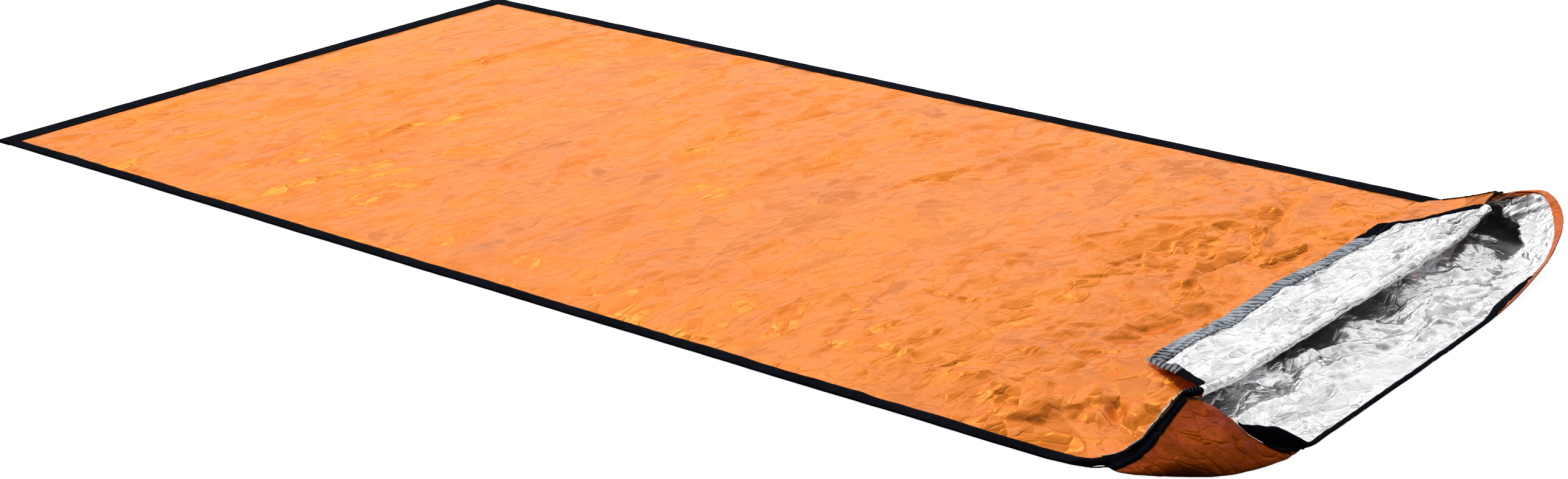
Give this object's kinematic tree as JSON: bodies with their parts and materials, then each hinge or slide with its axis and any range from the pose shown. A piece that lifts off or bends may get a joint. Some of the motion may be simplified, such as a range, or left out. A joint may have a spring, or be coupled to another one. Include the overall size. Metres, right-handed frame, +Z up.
{
  "type": "bivy sack",
  "caption": "Flat emergency bivy sack of orange film with a silver lining, taped along both sides and the foot, its mouth folded back in a collar over the open head rim.",
  "frame": {"origin": "middle of the sack's footprint, on the ground under the bottom panel", "axes": "+X from the foot to the head, +Y to the far long side, +Z up from the ground"},
  "size_m": [2, 1.04, 0.0586],
  "materials": {
    "orange_film": "crinkled semi-gloss plastic film",
    "silver_film": "crinkled aluminised film",
    "black_tape": "woven binding tape with crosswise ribs",
    "black_thread": "spun polyester thread"
  },
  "bodies": {
    "bag": {"bottom_panel_outer": "orange_film", "bottom_panel_lining": "silver_film", "top_panel_outer": "orange_film", "top_panel_lining": "silver_film", "near_side_binding": "black_tape", "far_side_binding": "black_tape", "foot_binding": "black_tape", "near_side_stitching": "black_thread", "far_side_stitching": "black_thread", "foot_stitching": "black_thread", "head_rim_tape": "black_tape", "head_rim_stitching": "black_thread", "near_seam_bartack": "black_thread", "far_seam_bartack": "black_thread"},
    "mouth_panel": {"mouth_panel_outer": "orange_film", "mouth_panel_lining": "silver_film"},
    "collar": {"collar_outer": "orange_film", "collar_lining": "silver_film", "collar_hem_tape": "black_tape", "collar_hem_stitching": "black_thread"}
  },
  "joints": [
    {"name": "mouth_lift", "type": "hinge", "parent": "bag", "child": "mouth_panel", "pos_m": [0.738, 0, 0.017], "axis": [0, -1, 0], "range_deg": [0, 14]},
    {"name": "collar_fold", "type": "hinge", "parent": "mouth_panel", "child": "collar", "pos_m": [0.873, 0, 0.03], "axis": [0, 1, 0], "range_deg": [0, 140]}
  ]
}
